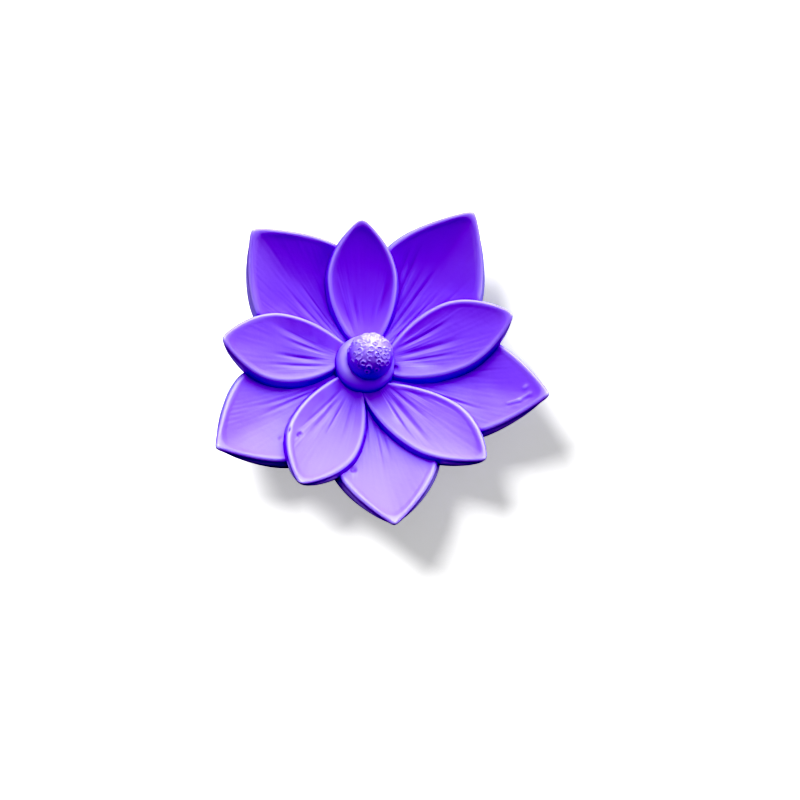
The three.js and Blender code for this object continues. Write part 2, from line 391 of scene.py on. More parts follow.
def half_width(row, along, reach, widest):
    """Swells from the root as 1 - t^2 to the widest place, then tapers as 1 - t^p to the tip.
    Near the tip the distance u from the apex becomes sqrt(u^2 - b^2), which blunts the point."""
    widest_at = row["widest_share"] * reach
    to_widest = np.clip((widest_at - along) / (widest_at - row["root_distance"]), 0, None)
    swelling = row["root_half_width"] + (widest - row["root_half_width"]) * (1 - to_widest**2)
    apex = reach + row["tip_blunting"]
    from_apex = np.sqrt(np.clip((apex - along) ** 2 - row["tip_blunting"] ** 2, 0, None))
    past = np.clip(1 - from_apex / (apex - widest_at), 0, 1)
    return np.where(along <= widest_at, swelling, widest * (1 - past ** row["taper_power"]))


def outline_side(row, along, reach, widest):
    """Half width, outward direction from its slope, and squeeze. The last section is the apex."""
    half = half_width(row, along, reach, widest)
    slope = (half_width(row, along - SLOPE_STEP, reach, widest) - half) / SLOPE_STEP
    length = np.hypot(slope, 1)
    out_along = slope / length
    out_aside = 1 / length
    out_along[-1] = 1
    out_aside[-1] = 0
    half[-1] = 0
    return Side(half, out_along, out_aside, half / (half + RIM_COLUMNS[-1]))


def petal_lines(petal):
    """Sections crowd towards the tip. The middle line swings aside at the root as (1 - t)^2, the rim
    rises as t^c from root to tip, and the belly rises as t^b from where it leaves the ground."""
    row, reach = petal.row, petal.reach
    length = reach - row["root_distance"]
    crowded = 1 - (1 - np.linspace(0, 1, PETAL_ROWS)[:, None]) ** ROW_CROWDING
    along = row["root_distance"] + length * crowded
    share = along / reach
    rim_rise = row["rim_at_tip"] - row["rim_at_root"]
    rim = row["rim_at_root"] + rim_rise * ((along - row["root_distance"]) / length) ** RIM_CURL
    belly_share = np.clip(along - row["belly_start"], 0, None) / (reach - row["belly_start"])
    belly_rise = row["rim_at_tip"] - row["tip_thickness"] + SUNK
    return Lines(
        along=along,
        middle=-petal.swing * (1 - share) ** 2,
        rim=rim,
        edge=rim - row["bead_radius"],
        belly=-SUNK + belly_rise * belly_share ** row["belly_power"],
        share=share,
        left=outline_side(row, along, reach, petal.left_half),
        right=outline_side(row, along, reach, petal.right_half),
    )


def rim_distances(lines, aside):
    """How far a place lies inside the left and the right rim, square to the outline."""
    from_left = (lines.left.half - aside) * lines.left.out_aside
    from_right = (lines.right.half + aside) * lines.right.out_aside
    return from_left, from_right


def depth_from_rim(row, along, from_left, from_right):
    """A round bead of radius b, then a smooth lip, then a bowl and a wider valley, both of the form
    1 - exp(-(d/s)^p). The bead takes the nearer rim's distance d, and the others a soft minimum
    -m log(exp(-l/m) + exp(-r/m)) of both, so that no crease runs down the middle."""
    radius = row["bead_radius"]
    nearer = np.clip(np.minimum(from_left, from_right), 0, radius)
    bead = radius - np.sqrt(radius**2 - (radius - nearer) ** 2)
    both = -MIDDLE_SOFTNESS * np.logaddexp(-from_left / MIDDLE_SOFTNESS, -from_right / MIDDLE_SOFTNESS)
    past = np.clip(both - radius, 0, None)
    lip_growth = LIP_AT_ROOT + (1 - LIP_AT_ROOT) * smoothstep(along, *LIP_GROWTH)
    lip = LIP_DROP * lip_growth * smoothstep(past, 0, LIP_WIDTH)
    bowl = 1 - np.exp(-((past / BOWL_SPREAD) ** BOWL_POWER))
    valley = smoothstep(along, *VALLEY_GROWTH) * (1 - np.exp(-((past / VALLEY_SPREAD) ** VALLEY_POWER)))
    return bead + lip + (row["bowl_depth"] - LIP_DROP) * bowl + row["valley_depth"] * valley


def groove_depth(row, along, ray, reach, random):
    """A sum of soft cuts exp(-(d/w)^2) along rays from the middle, where d is the distance from the
    ray. Each has its own place, width, depth and end, and a slow waver to either side."""
    spacing = row["groove_spacing"]
    first = -0.5 * (row["grooves"] - 1) * spacing
    cut = np.zeros_like(along)
    for groove in range(row["grooves"]):
        middle = first + spacing * (groove + random.uniform(-GROOVE_SCATTER, GROOVE_SCATTER))
        width = row["groove_width"] * random.uniform(*GROOVE_WIDTHS)
        depth = row["groove_depth"] * random.uniform(*GROOVE_DEPTHS)
        start = random.uniform(*GROOVE_START)
        end = reach * random.uniform(*row["groove_end"])
        phase = random.uniform(0, 2 * np.pi)
        waver = GROOVE_WAVER * spacing * np.sin(GROOVE_WAVER_NUMBER * along + phase)
        fade_in = smoothstep(along, start + GROOVE_FADE_IN[0], start + GROOVE_FADE_IN[1])
        fade_out = 1 - smoothstep(along, end - GROOVE_FADE_OUT, end)
        aside = np.radians(ray - middle - waver) * along / width
        cut += depth * fade_in * fade_out * np.exp(-(aside**2))
    return cut


def streaks(along, ray, random):
    """Fine radial streaks: a sum of sine waves over the ray's angle, each drifting along it."""
    total = np.zeros_like(along)
    for _ in range(STREAK_WAVES):
        number = random.uniform(*STREAK_NUMBER)
        drift = random.uniform(-STREAK_DRIFT, STREAK_DRIFT)
        fade_number = random.uniform(*STREAK_FADE_NUMBER)
        fade = 0.5 + 0.5 * np.sin(along * fade_number + random.uniform(0, ANY_PHASE))
        total += fade * np.sin(number * ray + drift * along + random.uniform(0, ANY_PHASE))
    return STREAK_HEIGHT * total / np.sqrt(STREAK_WAVES)


def unevenness(x, y, random):
    """A sum of plane sine waves in random directions, for the casting's soft unevenness."""
    total = np.zeros_like(x)
    for _ in range(UNEVEN_WAVES):
        direction = random.uniform(0, 2 * np.pi)
        number = 2 * np.pi / (UNEVEN_LENGTH * random.uniform(*UNEVEN_LENGTHS))
        phase = random.uniform(0, 2 * np.pi)
        total += np.sin(number * (x * np.cos(direction) + y * np.sin(direction)) + phase)
    return UNEVEN_HEIGHT * total / np.sqrt(UNEVEN_WAVES)


def top_places(row, lines):
    """Distances aside from the middle line, from the left rim to the right one: columns that keep
    their distance from each rim, and between them rays from the flower's middle. A ray that would
    pass the columns bends in as s / (1 + s^p)^(1/p), where s is its share of the room there."""
    columns = []
    rooms = []
    for side in (lines.left, lines.right):
        columns.append(side.half - RIM_COLUMNS * side.squeeze)
        rooms.append(side.half - RIM_COLUMNS[-1] * side.squeeze)
    rays = np.radians(np.linspace(1, -1, row["rays"]) * RAY_SPREAD * row["rays"])
    wanted = lines.along * np.tan(rays) - lines.middle
    room = np.where(wanted > 0, rooms[0], rooms[1])
    share = np.abs(wanted) / np.where(room > 0, room, 1)
    bent = share / (1 + share**CLAMP_POWER) ** (1 / CLAMP_POWER)
    return np.concatenate([columns[0], np.sign(wanted) * bent * room, -columns[1][:, ::-1]], axis=1)


def top_heights(petal, lines, aside, seed):
    """Height of the top: the rim less depth(d), less the grooves, with the streaks and unevenness
    added away from the bead."""
    from_left, from_right = rim_distances(lines, aside)
    along = np.broadcast_to(lines.along, aside.shape)
    ray = np.degrees(np.arctan2(aside + lines.middle, along))
    cut = groove_depth(petal.row, along, ray, petal.reach, np.random.default_rng(seed))
    swell = unevenness(along, aside, np.random.default_rng(seed + 1))
    fine = streaks(along, ray, np.random.default_rng(seed + 2))
    clear = smoothstep(np.minimum(from_left, from_right), *BEAD_CLEARANCE)
    depth = depth_from_rim(petal.row, along, from_left, from_right)
    return lines.rim - depth - (cut - swell - fine) * clear


def under_part(row, lines, side, way, angles):
    """Part of the wall and underside, as points and as drops below the edge. Each section is a
    superellipse of the angle whose wall first swells out, and which leans back under the tip."""
    near_tip = lines.share**WALL_SWELL_FADE
    fullness = 1 - (1 - row["tip_swell"]) * near_tip
    power = 2 / (WALL_SQUARENESS + (TIP_SQUARENESS - WALL_SQUARENESS) * near_tip)
    outward = np.clip(np.cos(angles), 0, 1) ** power
    down = np.sin(angles) ** power
    drop = (lines.edge - lines.belly) * down
    swell = WALL_SWELL * smoothstep(drop, 0, WALL_SWELL_DEPTH) * outward * fullness
    recede = row["tip_recede"] * down * lines.share**TIP_RECEDE_POWER
    x = lines.along + swell * side.out_along - recede
    y = lines.middle + way * (side.half * outward + swell * side.out_aside)
    return np.stack([x, y, lines.edge - drop], axis=-1), drop


def petal_points(petal, random):
    """Cross-sections along the petal, as an array rows x around x 3, and each point's painted highlight,
    strongest on the rims. A section runs over the top from the left rim to the right one, and back below."""
    seed = int(random.integers(1_000_000))
    lines = petal_lines(petal)
    aside = top_places(petal.row, lines)
    along = np.broadcast_to(lines.along, aside.shape)
    top = np.stack([along, aside + lines.middle, top_heights(petal, lines, aside, seed)], axis=-1)
    below = (
        under_part(petal.row, lines, lines.right, -1, UNDERSIDE_ANGLES),
        under_part(petal.row, lines, lines.right, 0, STRAIGHT_DOWN),
        under_part(petal.row, lines, lines.left, 1, UNDERSIDE_ANGLES[::-1]),
    )
    # Painted highlight: strongest on the rim's bead, fading inward over the top and down the wall.
    inside = np.clip(np.minimum(*rim_distances(lines, aside)) - RIM_FLAT, 0, None) / RIM_FADE
    dropped = np.concatenate([drop for _, drop in below], axis=1) / RIM_FADE_BELOW
    painted_highlight = RIM_HIGHLIGHT * np.exp(-(np.concatenate([inside, dropped], axis=1) ** 2))

    x, y, z = np.moveaxis(np.concatenate([top, *(points for points, _ in below)], axis=1), -1, 0)
    turn = np.radians(petal.heading)
    turned = (x * np.cos(turn) - y * np.sin(turn), x * np.sin(turn) + y * np.cos(turn), z)
    return np.stack(turned, axis=-1), painted_highlight


def petal_solid(name, petal, random):
    """The skin over a petal's sections, closed at the root by triangles to the section's middle. At
    the tip the sections close by themselves."""
    points, painted_highlight = petal_points(petal, random)
    rows, around = points.shape[:2]
    flat = points.reshape(-1, 3)
    root_middle = flat[:around].mean(axis=0, keepdims=True)
    loop = np.arange(around)
    root = np.stack([np.roll(loop, -1), loop, np.full(around, len(flat))], axis=-1).tolist()
    faces = tube_faces(rows, around) + root
    piece = new_mesh_object(name, np.vstack([flat, root_middle]), faces, np.append(painted_highlight, 0))
    weld(piece, WELD_PETALS)
    return piece


# ---------------------------------------------------------------------------------------------
# Seed head, middle and back
# ---------------------------------------------------------------------------------------------


def lathe_solid(name, profile):
    """A profile of (radius, height) turned round Z. It starts and ends on the axis."""
    turn = np.arange(SHOULDER_SIDES) * 2 * np.pi / SHOULDER_SIDES
    radius, height = np.asarray(profile, dtype=float).T[..., None]
    x = radius * np.cos(turn)
    y = radius * np.sin(turn)
    points = np.stack([x, y, np.broadcast_to(height, x.shape)], axis=-1).reshape(-1, 3)
    piece = new_mesh_object(name, points, tube_faces(len(profile), SHOULDER_SIDES))
    weld(piece, WELD_HEAD)
    return piece


def shoulder_solid():
    """The corners' profile in equal steps of its length, each averaged with its two neighbours as
    a quarter, a half and a quarter."""
    corners = np.array([(0, -SUNK), (SHOULDER_CORNERS[0][0], -SUNK), *SHOULDER_CORNERS], dtype=float)
    reached = np.concatenate([[0], np.cumsum(np.hypot(*np.diff(corners, axis=0).T))])
    steps = np.linspace(0, reached[-1], SHOULDER_STEPS)
    profile = np.stack([np.interp(steps, reached, corners[:, axis]) for axis in (0, 1)], axis=-1)
    smooth = profile.copy()
    smooth[1:-1] = 0.25 * profile[:-2] + 0.5 * profile[1:-1] + 0.25 * profile[2:]
    return lathe_solid("shoulder", smooth)


def hub_solid():
    profile = [(0, -SUNK), (HUB_RADIUS, -SUNK), (HUB_RADIUS, HUB_HEIGHT), (0, HUB_HEIGHT)]
    return lathe_solid("hub", profile)


def ring_wall(normal, middle, forward, random):
    """How far one ring stands out, h exp(-((a - r)/w)^2) at the distance a along the ball from its
    middle, with a gap at one bearing on most rings. Also how far each place lies inside it."""
    beside = np.cross(middle, forward)
    beside /= np.linalg.norm(beside)
    above = np.cross(beside, middle)
    away = CAP_RADIUS * np.arccos(np.clip(normal @ middle, -1, 1))
    bearing = np.arctan2(normal @ above, normal @ beside)
    radius = random.uniform(*RING_RADIUS)
    opening = random.uniform(0, 2 * np.pi)
    gap = random.uniform(0, RING_GAP) if random.random() < OPEN_RINGS else 0
    from_opening = np.abs((bearing - opening + np.pi) % (2 * np.pi) - np.pi)
    kept = smoothstep(from_opening, gap - RING_GAP_EDGE, gap + RING_GAP_EDGE) if gap else 1
    height = RING_HEIGHT * random.uniform(*RING_HEIGHTS)
    wall = height * np.exp(-(((away - radius) / RING_WIDTH) ** 2)) * kept
    return wall, smoothstep(away, PIT_SHARES[0] * radius, PIT_SHARES[1] * radius)


def cap_solid(rings, random):
    """A ball raised by small rings round its leaning crown, with a shallow pit in each. The rings
    follow a golden-angle spiral: equal steps in height from the crown's pole to the last ring."""
    polar = np.linspace(0, np.pi, CAP_STEPS)[:, None]
    turn = np.arange(CAP_SIDES) * 2 * np.pi / CAP_SIDES
    across = np.broadcast_to(np.cos(polar), (CAP_STEPS, CAP_SIDES))
    normal = np.stack([np.sin(polar) * np.cos(turn), np.sin(polar) * np.sin(turn), across], axis=-1)
    sideways = np.array([1.0, 0.0, 0.0])
    forward = np.array([0.0, np.cos(CROWN_LEAN), -np.sin(CROWN_LEAN)])
    crown = np.array([0.0, np.sin(CROWN_LEAN), np.cos(CROWN_LEAN)])
    raised = np.full(across.shape, -RING_SINK)
    for ring in range(rings):
        height = 1 - (ring + 0.5) / rings * (1 - np.cos(LAST_RING_ANGLE))
        outward = np.sqrt(1 - height**2)
        angle = ring * GOLDEN_ANGLE + random.normal(0, RING_SCATTER)
        middle = outward * (np.cos(angle) * sideways + np.sin(angle) * forward) + height * crown
        wall, inside = ring_wall(normal, middle, forward, random)
        raised = np.maximum(raised, wall - RING_SINK)
        pitted = np.minimum(raised, -RING_SINK - PIT_DEPTH * inside)
        raised = np.where(inside > 0, pitted, raised)
    points = CAP_CENTRE + normal * (CAP_RADIUS + raised)[..., None]
    # Painted highlight on the raised parts round the crown's pole, which leans towards the key light, none
    # in the pits.
    crowned = smoothstep(normal @ crown, *CAP_HIGHLIGHT_SPAN)
    painted_highlight = CAP_HIGHLIGHT * crowned * smoothstep(raised, *CAP_HIGHLIGHT_RISE)
    faces = tube_faces(CAP_STEPS, CAP_SIDES)
    piece = new_mesh_object("cap", points.reshape(-1, 3), faces, painted_highlight.ravel())
    weld(piece, WELD_HEAD)
    return piece


def block_below_back():
    """A block whose top is the plane of the flat back."""
    work = bmesh.new()
    bmesh.ops.create_cube(work, size=BLOCK_SIZE * MM)
    bmesh.ops.translate(work, verts=work.verts, vec=(0, 0, -0.5 * BLOCK_SIZE * MM))
    mesh = bpy.data.meshes.new("below_back")
    work.to_mesh(mesh)
    work.free()
    block = bpy.data.objects.new("below_back", mesh)
    bpy.context.scene.collection.objects.link(block)
    return block


# ---------------------------------------------------------------------------------------------
# The whole casting
# ---------------------------------------------------------------------------------------------


def join_and_cut(first, others, block):
    """Makes first one solid with the others, less the block. The others and the block go."""
    group = bpy.data.collections.new("casting_parts")
    bpy.context.scene.collection.children.link(group)
    for other in others:
        group.objects.link(other)
    joining = first.modifiers.new("join", "BOOLEAN")
    joining.operation = "UNION"
    joining.solver = "MANIFOLD"
    joining.operand_type = "COLLECTION"
    joining.collection = group
    cutting = first.modifiers.new("cut", "BOOLEAN")
    cutting.operation = "DIFFERENCE"
    cutting.solver = "MANIFOLD"
    cutting.object = block
    bpy.context.view_layer.update()
    evaluated = first.evaluated_get(bpy.context.evaluated_depsgraph_get())
    mesh = bpy.data.meshes.new_from_object(evaluated)
    first.modifiers.clear()
    first.data = mesh
    for other in (*others, block):
        bpy.data.objects.remove(other)
    bpy.data.collections.remove(group)


def require_closed(mesh):
    """Raises an error unless two faces meet at each edge, as they do all over a closed solid."""
    edges = np.empty(len(mesh.loops), dtype=np.int32)
    mesh.loops.foreach_get("edge_index", edges)
    if not len(edges) or np.any(np.bincount(edges, minlength=len(mesh.edges)) != 2):
        raise RuntimeError("The petals and the seed head have not joined into one closed solid")


def mark_surface(mesh):
    """Moves each point along its normal by the sum of h exp(-(d/w)^2), where d is its distance from
    a mark's stroke."""
    points = read_vectors(mesh.vertices, "co")
    normals = read_vectors(mesh.vertex_normals, "vector")
    moved = np.zeros(len(points))
    for mark in MARKS:
        start = np.array(mark.start)
        stroke = np.subtract(mark.end, mark.start)
        share = np.clip((points / MM - start) @ stroke / (stroke @ stroke), 0, 1)
        away = np.linalg.norm(points / MM - start - share[:, None] * stroke, axis=1)
        moved += mark.height * np.exp(-((away / mark.half_width) ** 2))
    move_points(mesh, points + normals * moved[:, None] * MM)


def fit_to_box(mesh, low, high):
    """Stretches each axis by a + b v, so that the mesh just fills the box from low to high."""
    points = read_vectors(mesh.vertices, "co")
    low, high = np.array(low), np.array(high)
    own_low, own_high = points.min(axis=0), points.max(axis=0)
    move_points(mesh, low + (points - own_low) * (high - low) / (own_high - own_low))


def ridge_values(mesh):
    """How far each point stands above the mean of its neighbours, along its normal, smoothed a few
    times over the edges: positive on rims and ridges, negative in grooves and pits."""
    points = read_vectors(mesh.vertices, "co")
    normals = read_vectors(mesh.vertex_normals, "vector")
    count = len(points)
    edges = np.empty(len(mesh.edges) * 2, dtype=int)
    mesh.edges.foreach_get("vertices", edges)
    first, second = edges.reshape(-1, 2).T
    beside = np.maximum(np.bincount(first, minlength=count) + np.bincount(second, minlength=count), 1)

    def smoothed(values):
        total = np.bincount(first, values[second], count) + np.bincount(second, values[first], count)
        return 0.5 * values + 0.5 * total / beside

    smooth = points
    for _ in range(SMOOTHING_ROUNDS):
        smooth = np.stack([smoothed(smooth[:, axis]) for axis in range(3)], axis=-1)
    ridge = ((points - smooth) * normals).sum(axis=1) / MM
    for _ in range(RIDGE_ROUNDS):
        ridge = smoothed(ridge)
    return ridge


# ---------------------------------------------------------------------------------------------
# Materials and room
# ---------------------------------------------------------------------------------------------

# The colour sockets of Blender's Mix node, which shares its names among several kinds of value.
MIX_FIRST = 6
MIX_SECOND = 7
MIX_RESULT = 2


def violet_resin(settings):
    """Dark violet satin resin. The stored ridge value paints shade in the grooves and pits and a
    highlight on the ridges, the stored painted highlight lightens the rims and the crown further, and a
    fine grain bumps the surface."""
    material = bpy.data.materials.new("violet_resin")
    material.use_nodes = True
    nodes, links = material.node_tree.nodes, material.node_tree.links
    shader = nodes["Principled BSDF"]
    shader.inputs["Roughness"].default_value = settings.roughness
    shader.inputs["Specular IOR Level"].default_value = settings.gloss
    shader.inputs["IOR"].default_value = IOR

    ridge = nodes.new("ShaderNodeAttribute")
    ridge.attribute_name = "ridge"
    spread = nodes.new("ShaderNodeMapRange")
    spread.inputs["From Min"].default_value = -RIDGE_SPAN
    spread.inputs["From Max"].default_value = RIDGE_SPAN
    links.new(ridge.outputs["Fac"], spread.inputs["Value"])
    # Painted shade in the grooves and pits, painted highlight on the ridges.
    ridge_shade_and_highlight = nodes.new("ShaderNodeValToRGB")
    links.new(spread.outputs["Result"], ridge_shade_and_highlight.inputs["Fac"])
    stops = ridge_shade_and_highlight.color_ramp.elements
    stops.new(RIDGE_STOPS[1])
    for stop, position, colour in zip(stops, RIDGE_STOPS, (settings.shade_violet, settings.violet, settings.highlight_violet)):
        stop.position = position
        stop.color = (*colour, 1)

    # The stored painted highlight lightens the rims and the seed head's crown further.
    highlight_amount = nodes.new("ShaderNodeAttribute")
    highlight_amount.attribute_name = "painted_highlight"
    highlighted = nodes.new("ShaderNodeMix")
    highlighted.data_type = "RGBA"
    highlighted.inputs[MIX_SECOND].default_value = (*settings.highlight_violet, 1)
    links.new(highlight_amount.outputs["Fac"], highlighted.inputs["Factor"])
    links.new(ridge_shade_and_highlight.outputs["Color"], highlighted.inputs[MIX_FIRST])
    links.new(highlighted.outputs[MIX_RESULT], shader.inputs["Base Color"])

    coordinates = nodes.new("ShaderNodeTexCoord")
    grain = nodes.new("ShaderNodeTexNoise")
    grain.inputs["Scale"].default_value = GRAIN_SCALE
    grain.inputs["Detail"].default_value = GRAIN_DETAIL
    links.new(coordinates.outputs["Object"], grain.inputs["Vector"])
    bump = nodes.new("ShaderNodeBump")
    bump.inputs["Strength"].default_value = GRAIN_STRENGTH
    bump.inputs["Distance"].default_value = GRAIN_HEIGHT * MM
    links.new(grain.outputs["Fac"], bump.inputs["Height"])
    links.new(bump.outputs["Normal"], shader.inputs["Normal"])
    return material


def floor_paint(bounce):
    """White where it is seen, and as bright as bounce in the light that it throws back."""
    material = bpy.data.materials.new("white_floor")
    material.use_nodes = True
    nodes, links = material.node_tree.nodes, material.node_tree.links
    shader = nodes["Principled BSDF"]
    shader.inputs["Roughness"].default_value = 1.0
    shader.inputs["Specular IOR Level"].default_value = 0.0
    shader.inputs["Emission Strength"].default_value = 1.0
    rays = nodes.new("ShaderNodeLightPath")
    for socket, unseen, seen in (("Base Color", bounce, FLOOR_WHITE), ("Emission Color", 0.0, FLOOR_GLOW)):
        shade = nodes.new("ShaderNodeMix")
        shade.data_type = "RGBA"
        shade.inputs[MIX_FIRST].default_value = (unseen, unseen, unseen, 1)
        shade.inputs[MIX_SECOND].default_value = (seen, seen, seen, 1)
        links.new(rays.outputs["Is Camera Ray"], shade.inputs["Factor"])
        links.new(shade.outputs[MIX_RESULT], shader.inputs[socket])
    return material


def white_room(sky):
    """White where it is seen, and as bright as sky in the light that it gives. It isn't reflected."""
    world = bpy.data.worlds.new("white_room")
    world.use_nodes = True
    world.cycles_visibility.glossy = False
    nodes, links = world.node_tree.nodes, world.node_tree.links
    background = nodes["Background"]
    background.inputs["Color"].default_value = WHITE
    rays = nodes.new("ShaderNodeLightPath")
    strength = nodes.new("ShaderNodeMapRange")
    strength.inputs["To Min"].default_value = sky
    strength.inputs["To Max"].default_value = 1.0
    links.new(rays.outputs["Is Camera Ray"], strength.inputs["Value"])
    links.new(strength.outputs["Result"], background.inputs["Strength"])
    return world


# ---------------------------------------------------------------------------------------------
# Floor, lights and camera
# ---------------------------------------------------------------------------------------------


def white_floor(bounce):
    half = FLOOR_HALF_SIZE
    corners = [(-half, -half, 0), (half, -half, 0), (half, half, 0), (-half, half, 0)]
    mesh = bpy.data.meshes.new("floor")
    mesh.from_pydata(corners, [], [(0, 1, 2, 3)])
    mesh.materials.append(floor_paint(bounce))
    floor = bpy.data.objects.new("floor", mesh)
    bpy.context.scene.collection.objects.link(floor)
    return floor


def direction(heading, height):
    """The unit vector towards a heading round Z and a height above the floor, both angles."""
    level = np.cos(height)
    return Vector((np.cos(heading) * level, np.sin(heading) * level, np.sin(height)))


def new_lamp(light, towards):
    """A lamp that stands in the direction towards and shines back from it."""
    lamp = bpy.data.objects.new(light.name, light)
    lamp.rotation_euler = towards.to_track_quat("Z", "Y").to_euler()
    bpy.context.scene.collection.objects.link(lamp)
    return lamp


def soft_light(name, strength, colour, towards, softness):
    """A far light that fills a disc of the sky, softness wide."""
    light = bpy.data.lights.new(name, "SUN")
    light.energy = strength
    light.color = colour
    light.angle = softness
    return new_lamp(light, towards)


def narrow_light(name, power, colour, towards, radius):
    """A near light whose cone fills a round of the given radius at the middle of the seed head."""
    light = bpy.data.lights.new(name, "SPOT")
    light.energy = power
    light.color = colour
    light.shadow_soft_size = SPOT_SIZE
    light.spot_size = 2 * np.arctan(radius / SPOT_DISTANCE)
    light.spot_blend = SPOT_BLEND
    lamp = new_lamp(light, towards)
    lamp.location = Vector(CAP_CENTRE) * MM + SPOT_DISTANCE * towards
    return lamp


def light_only(lamps, receiver):
    """Makes the lamps light the receiver and nothing else."""
    group = bpy.data.collections.new(f"lit_{receiver.name}")
    group.objects.link(receiver)
    for lamp in lamps:
        lamp.light_linking.receiver_collection = group


def top_camera():
    """A camera that looks down on the flower, leaning from straight down by the tilt."""
    lean = np.sin(CAMERA_TILT)
    back = Vector((np.sin(CAMERA_HEADING) * lean, -np.cos(CAMERA_HEADING) * lean, np.cos(CAMERA_TILT)))
    right = Vector((0, 1, 0)).cross(back).normalized()
    up = back.cross(right)
    place = CAMERA_AIM * MM + back * CAMERA_DISTANCE
    lens = bpy.data.cameras.new("camera")
    lens.lens = LENS_LENGTH
    lens.sensor_width = SENSOR_WIDTH
    lens.clip_start = NEAREST_SEEN
    camera = bpy.data.objects.new("camera", lens)
    bpy.context.scene.collection.objects.link(camera)
    turned = [[right[axis], up[axis], back[axis], place[axis]] for axis in range(3)]
    camera.matrix_world = Matrix([*turned, [0, 0, 0, 1]])
    return camera


# ---------------------------------------------------------------------------------------------
# Settings, operators and panel
# ---------------------------------------------------------------------------------------------


class CastingSettings(bpy.types.PropertyGroup):
    """Make and finish of the casting."""

    seed: IntProperty(
        name="Seed",
        description="Chooses the places of the grooves, the streaks and the gaps in the rings",
        default=7,
        min=0,
    )
    rings: IntProperty(
        name="Rings",
        description="Number of small rings on the crown of the seed head",
        default=52,
        min=1,
        max=200,
    )
    violet: FloatVectorProperty(
        name="Violet",
        description="Colour of the resin",
        subtype="COLOR",
        default=(0.185, 0.038, 0.68),
        min=0,
        max=1,
    )
    # Colour of the painted shade in the grooves and pits.
    shade_violet: FloatVectorProperty(
        name="Deep violet",
        description="Colour in the grooves",
        subtype="COLOR",
        default=(0.17, 0.008, 0.56),
        min=0,
        max=1,
    )
    # Colour of the painted highlight on the ridges, the rims and the seed head's crown.
    highlight_violet: FloatVectorProperty(
        name="Pale violet",
        description="Colour on the rims",
        subtype="COLOR",
        default=(0.42, 0.34, 0.92),
        min=0,
        max=1,
    )
    roughness: FloatProperty(
        name="Roughness",
        description="Roughness of the satin surface",
        subtype="FACTOR",
        default=0.55,
        min=0,
        max=1,
    )
    gloss: FloatProperty(
        name="Gloss",
        description="Strength of the reflection",
        subtype="FACTOR",
        default=1.0,
        min=0,
        max=1,
    )


class StudioSettings(bpy.types.PropertyGroup):
    """Floor and lights. Headings run round Z from +X, and heights up from the floor."""

    key_strength: FloatProperty(
        name="Key strength",
        description="Strength of the key light",
        default=4.1,
        min=0,
    )
    key_colour: FloatVectorProperty(
        name="Key colour",
        description="Colour of the key light and of the narrow light",
        subtype="COLOR",
        default=(0.8, 1.0, 1.0),
        min=0,
        max=1,
    )
    key_heading: FloatProperty(
        name="Key heading",
        description="Heading of the key light and of the narrow light",
        subtype="ANGLE",
        default=np.radians(83),
    )
    key_height: FloatProperty(
        name="Key height",
        description="Height of the key light",
        subtype="ANGLE",
        default=np.radians(26),
    )
    key_softness: FloatProperty(
        name="Key softness",
        description="Angle that the key light fills",
        subtype="ANGLE",
        default=np.radians(75),
    )
    spot_power: FloatProperty(
        name="Spot power",
        description="Power of the narrow light on the seed head",
        unit="POWER",
        default=0.4,
        min=0,
    )
    spot_height: FloatProperty(
        name="Spot height",
        description="Height of the narrow light",
        subtype="ANGLE",
        default=np.radians(40),
    )
    spot_radius: FloatProperty(
        name="Spot radius",
        description="Radius of the round that the narrow light fills at the seed head",
        subtype="DISTANCE",
        default=0.0042,
        min=0,
    )
    fill_strength: FloatProperty(
        name="Fill strength",
        description="Strength of the fill light from straight above, which isn't reflected",
        default=1.34,
        min=0,
    )
    fill_colour: FloatVectorProperty(
        name="Fill colour",
        description="Colour of the fill light",
        subtype="COLOR",
        default=(1.0, 0.78, 0.85),
        min=0,
        max=1,
    )
    fill_softness: FloatProperty(
        name="Fill softness",
        description="Angle that the fill light fills",
        subtype="ANGLE",
        default=np.radians(60),
    )
    side_strength: FloatProperty(
        name="Side strength",
        description="Strength of each of the two side lights",
        default=0.85,
        min=0,
    )
    side_height: FloatProperty(
        name="Side height",
        description="Height of the side lights",
        subtype="ANGLE",
        default=np.radians(20),
    )
    side_softness: FloatProperty(
        name="Side softness",
        description="Angle that each side light fills",
        subtype="ANGLE",
        default=np.radians(40),
    )
    wash_strength: FloatProperty(
        name="Wash strength",
        description="Strength of the light on the floor",
        default=2.8,
        min=0,
    )
    wash_heading: FloatProperty(
        name="Wash heading",
        description="Heading of the light on the floor",
        subtype="ANGLE",
        default=np.radians(135),
    )
    wash_height: FloatProperty(
        name="Wash height",
        description="Height of the light on the floor",
        subtype="ANGLE",
        default=np.radians(40),
    )
    wash_softness: FloatProperty(
        name="Wash softness",
        description="Angle that the light on the floor fills",
        subtype="ANGLE",
        default=np.radians(30),
    )
    bounce: FloatProperty(
        name="Bounce",
        description="Share of the light that the floor throws back",
        subtype="FACTOR",
        default=0.1,
        min=0,
        max=1,
    )
    sky: FloatProperty(
        name="Sky",
        description="Strength of the light from all round",
        default=0.1,
        min=0,
    )


